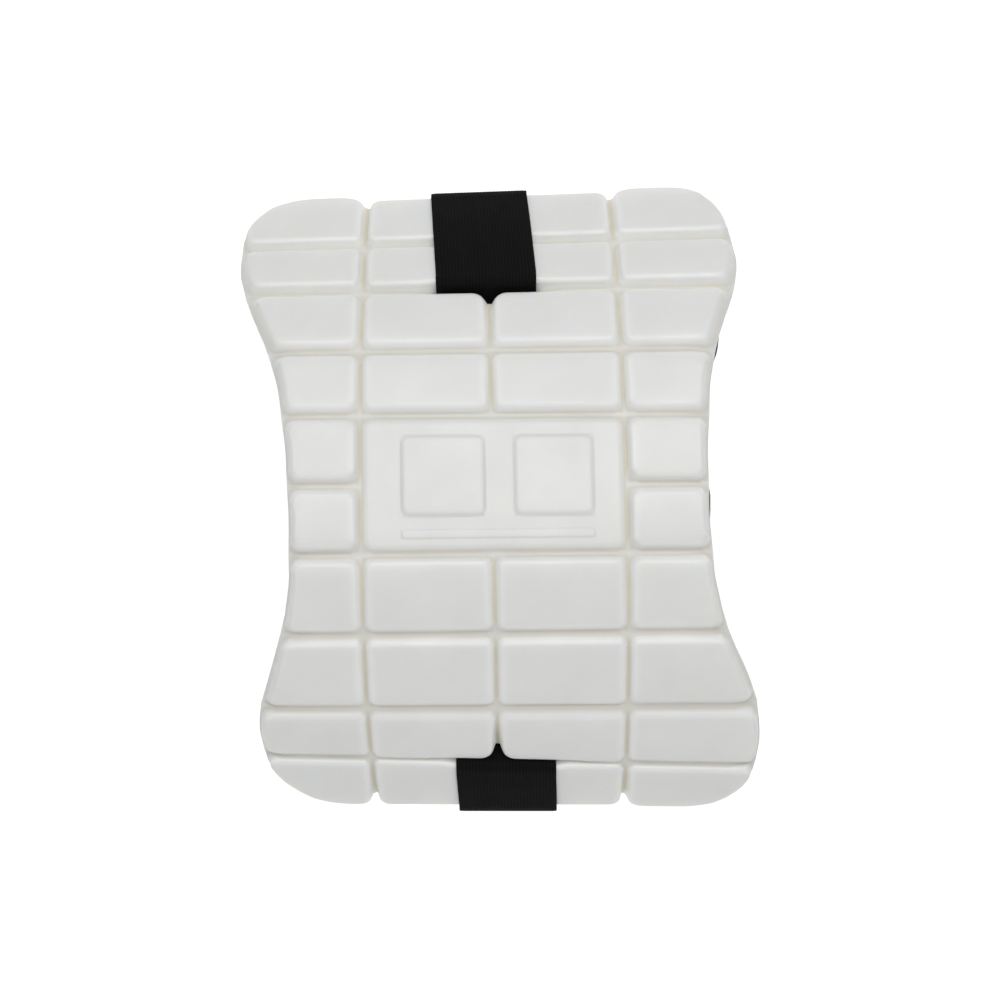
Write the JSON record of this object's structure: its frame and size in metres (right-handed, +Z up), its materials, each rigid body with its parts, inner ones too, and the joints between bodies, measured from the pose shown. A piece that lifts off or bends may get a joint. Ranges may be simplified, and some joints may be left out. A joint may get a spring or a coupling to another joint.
{
  "type": "chest guard",
  "caption": "Bowed foam chest guard with raised blocks, a flat centre panel and a cloth-lined back, held in shape and on the body by a wide woven elastic loop.",
  "frame": {"origin": "on the floor under the middle of the guard, which lies front face up on the outer run of its elastic loop", "axes": "+X to the viewer's right across the pad, +Y along the pad towards its top end, +Z up out of the front face"},
  "size_m": [0.2574, 0.3234, 0.0693],
  "materials": {
    "foam": "white compression-moulded foam with a smooth closed skin",
    "lining_cloth": "black knitted lining cloth bonded to the foam",
    "woven_elastic": "black ribbed woven elastic"
  },
  "bodies": {
    "root": {"foam_pad": "foam", "back_lining": "lining_cloth", "elastic_strap": "woven_elastic"}
  },
  "joints": []
}
